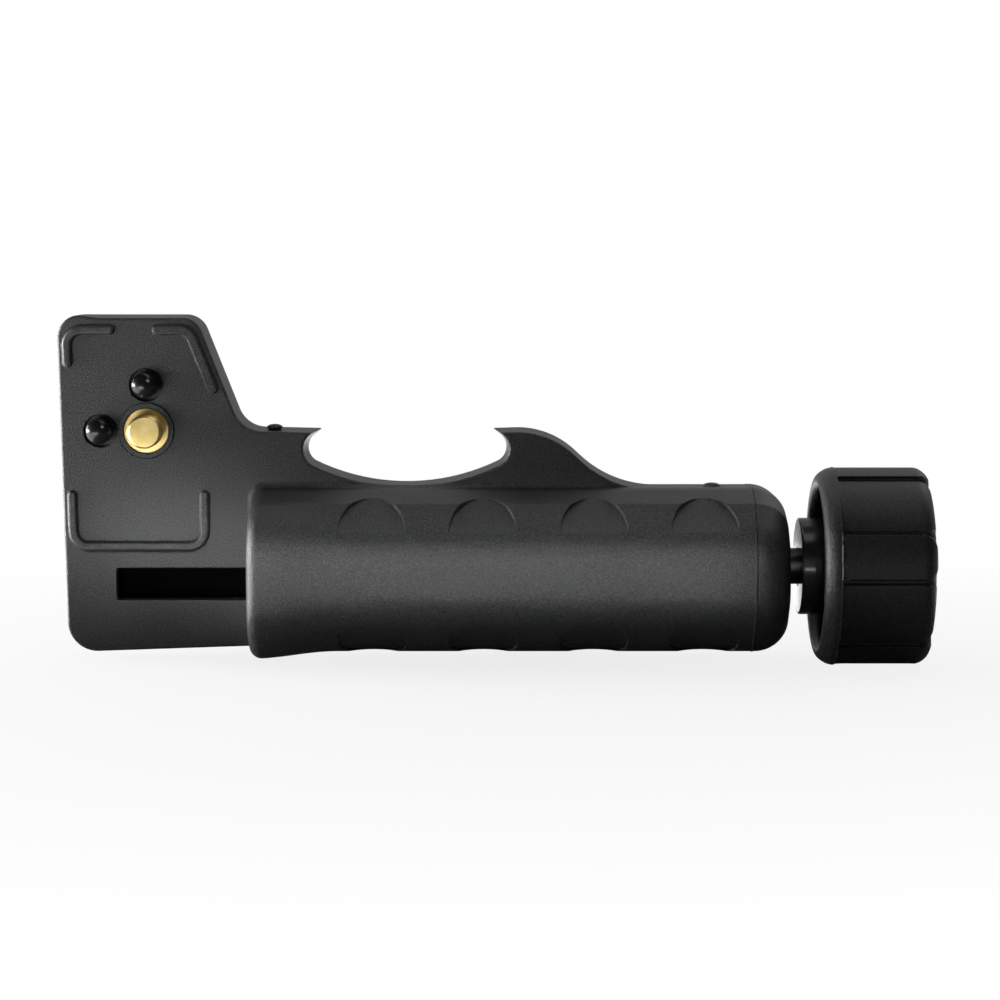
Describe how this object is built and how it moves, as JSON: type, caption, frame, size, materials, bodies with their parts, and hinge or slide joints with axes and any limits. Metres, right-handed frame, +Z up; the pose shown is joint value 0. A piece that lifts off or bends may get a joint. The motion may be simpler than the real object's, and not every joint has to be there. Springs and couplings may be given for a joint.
{
  "type": "laser receiver rod clamp",
  "caption": "Hand-held bracket that carries a laser level receiver on a flat plate and clamps it to a levelling rod, with a knob-driven sliding jaw behind its handle.",
  "frame": {"origin": "axis of the receiver screw, on the front face of the receiver plate", "axes": "+X along the handle to the knob, +Y from the receiver plate to the rod, +Z up"},
  "size_m": [0.1639, 0.0591, 0.0656],
  "materials": {
    "housing_plastic": "fine spark texture, glass-filled",
    "knob_plastic": "satin",
    "grip_rubber": "satin soft-touch",
    "pad_rubber": "matte",
    "pin_gloss": "polished",
    "brass": "turned",
    "bronze": "sintered",
    "black_steel": "black oxide",
    "bright_steel": "zinc plated"
  },
  "bodies": {
    "bracket": {"front_housing": "housing_plastic", "rear_cover": "housing_plastic", "end_cap": "housing_plastic", "end_bush": "bronze", "tail_bush": "bronze", "locating_pins": "pin_gloss", "screw_guide": "knob_plastic", "cover_screws": "black_steel", "fixed_jaw_pad": "pad_rubber"},
    "clamp_screw": {"lead_screw": "black_steel", "thrust_washer": "bright_steel", "retaining_clip": "bright_steel", "knob_core": "knob_plastic", "knob_grip": "grip_rubber", "knob_nut": "bright_steel", "knob_cap": "knob_plastic"},
    "jaw": {"moving_jaw": "housing_plastic", "jaw_nut": "brass", "guide_bar": "bright_steel", "bar_rivet": "bright_steel", "moving_jaw_pad": "pad_rubber"},
    "receiver_screw": {"fixing_screw": "brass", "fixing_washer": "bright_steel", "fixing_wheel": "knob_plastic"}
  },
  "joints": [
    {"name": "knob_turn", "type": "hinge", "parent": "bracket", "child": "clamp_screw", "pos_m": [0.14, -0.0045, -0.0253], "axis": [1, 0, 0], "range_deg": [-3600, 1350]},
    {"name": "jaw_slide", "type": "slide", "parent": "bracket", "child": "jaw", "axis": [1, 0, 0], "range_m": [-0.04, 0.015]},
    {"name": "receiver_screw_turn", "type": "hinge", "parent": "bracket", "child": "receiver_screw", "pos_m": [0, 0, 0], "axis": [0, 1, 0], "continuous": true}
  ],
  "couplings": [
    {"joint": "jaw_slide", "follows": "knob_turn", "m_per_rad": 0.00063662}
  ]
}
